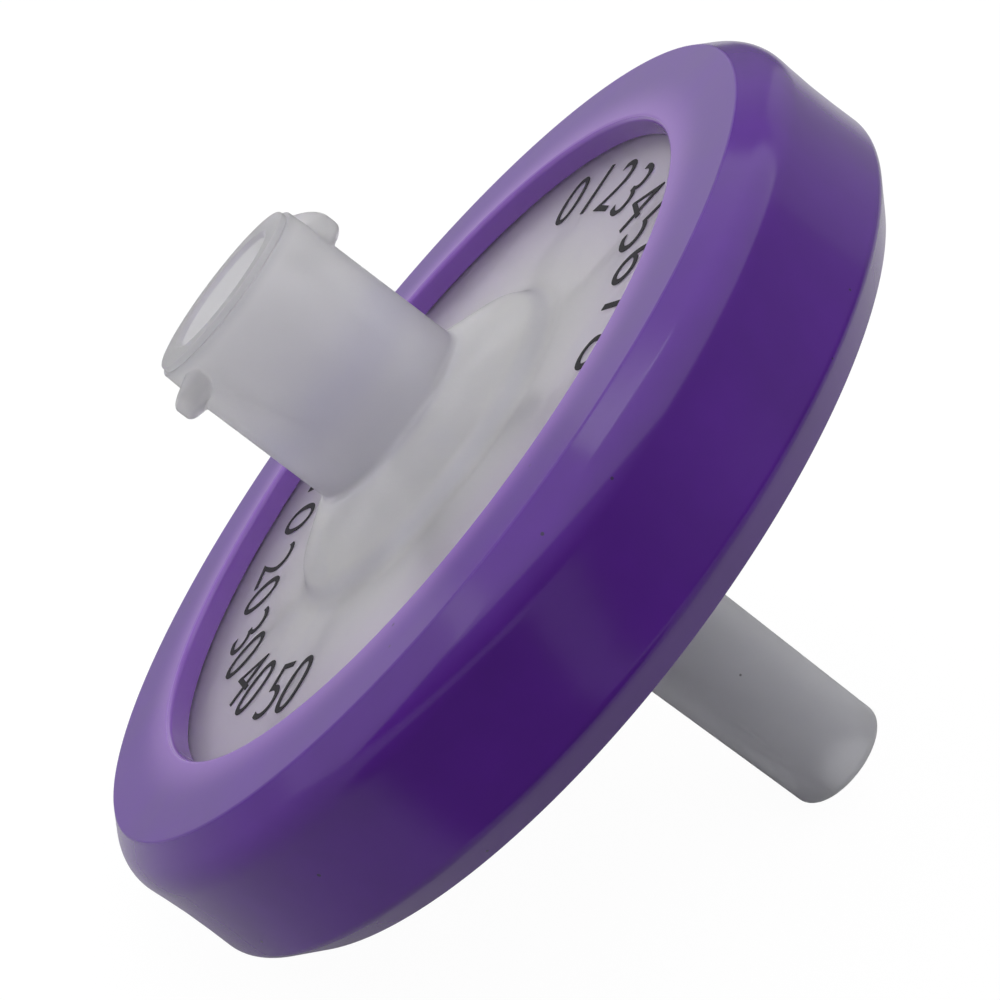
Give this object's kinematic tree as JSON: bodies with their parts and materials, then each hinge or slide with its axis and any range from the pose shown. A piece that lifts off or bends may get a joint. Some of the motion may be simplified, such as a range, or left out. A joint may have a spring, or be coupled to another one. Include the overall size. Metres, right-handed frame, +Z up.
{
  "type": "syringe filter",
  "caption": "Disc-shaped syringe filter with a translucent luer-lock inlet, a slim slip outlet and a thick coloured ring moulded round the rim of its flat housing.",
  "frame": {"origin": "on the surface that the filter lies on, under the middle of its bounding box", "axes": "+Z up; +Y along the ring's level diameter; the flow axis lies in the XZ plane, with the inlet up towards -X and the outlet down towards +X"},
  "size_m": [0.0266, 0.0332, 0.0258],
  "materials": {
    "natural_polypropylene": "translucent milky white moulded polypropylene, satin gloss",
    "purple_overmould": "opaque purple moulded polypropylene, glossy",
    "membrane": "matt white porous membrane"
  },
  "bodies": {
    "root": {"inlet_housing": "natural_polypropylene", "outlet_housing": "natural_polypropylene", "filter_membrane": "membrane", "overmould_ring": "purple_overmould"}
  },
  "joints": []
}
